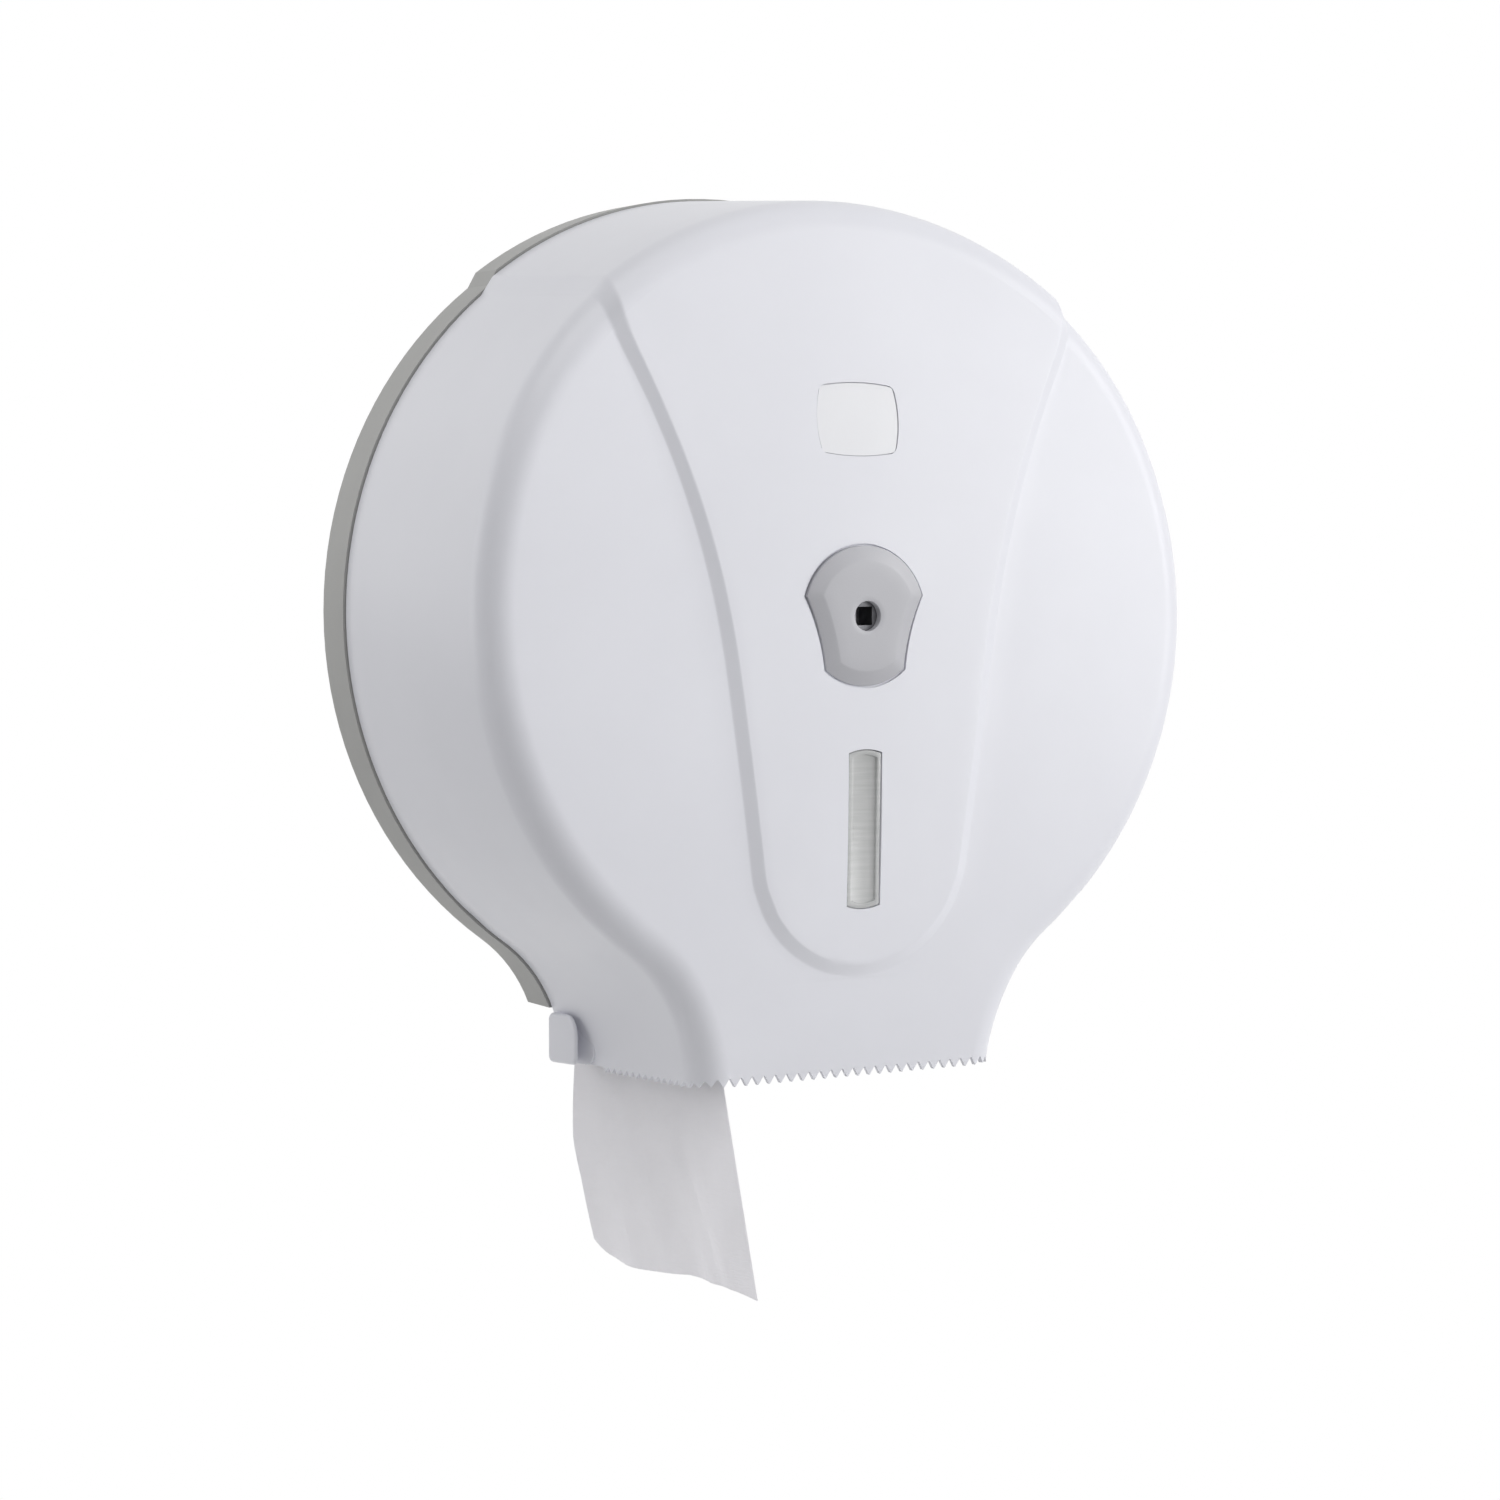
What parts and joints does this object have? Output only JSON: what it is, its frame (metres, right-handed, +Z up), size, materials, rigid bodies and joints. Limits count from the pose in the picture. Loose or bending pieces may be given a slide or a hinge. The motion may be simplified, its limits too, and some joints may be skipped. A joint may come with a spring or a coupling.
{
  "type": "toilet roll dispenser",
  "caption": "Wall-mounted round dispenser for one jumbo toilet roll, with a hinged lockable cover, a level window and a serrated paper outlet.",
  "frame": {"origin": "on the wall, on the spindle's axis, which is the centre of the four wall screw holes", "axes": "+Z up, -Y out of the wall towards the user, +X to the user's right"},
  "size_m": [0.276, 0.1193, 0.3609],
  "materials": {
    "white_plastic": "satin-gloss moulded ABS",
    "badge_white": "gloss, bare",
    "hub_white": "moulded",
    "grey_plastic": "moulded, satin",
    "lock_grey": "moulded, satin",
    "clear_plastic": "clear moulded plastic",
    "barrel_metal": "zinc die-cast",
    "steel": "zinc plated",
    "card": "cardboard",
    "paper": "tissue paper"
  },
  "bodies": {
    "root": {"back_plate": "grey_plastic", "spindle_post": "grey_plastic", "spindle_screws": "steel", "hub_clip": "steel", "paper_tail": "paper"},
    "roll": {"spindle_hub": "hub_white", "core_tube": "card", "paper_roll": "paper"},
    "cover": {"front_cover": "white_plastic", "window_lens": "clear_plastic", "badge_blank": "badge_white", "lock_escutcheon": "lock_grey", "lock_nut": "grey_plastic", "hinge_pin_left": "steel", "hinge_pin_right": "steel"},
    "lock": {"lock_barrel": "barrel_metal", "lock_tongue": "steel", "tongue_washer": "steel", "tongue_screw": "steel"}
  },
  "joints": [
    {"name": "cover_hinge", "type": "hinge", "parent": "root", "child": "cover", "pos_m": [0, -0.027, -0.145], "axis": [1, 0, 0], "range_deg": [0, 100], "deforming": ["paper_tail"]},
    {"name": "lock_turn", "type": "hinge", "parent": "cover", "child": "lock", "pos_m": [0, -0.1, 0], "axis": [0, 1, 0], "range_deg": [0, 90]},
    {"name": "roll_spin", "type": "hinge", "parent": "root", "child": "roll", "pos_m": [0, -0.05, 0], "axis": [0, 1, 0], "continuous": true}
  ]
}
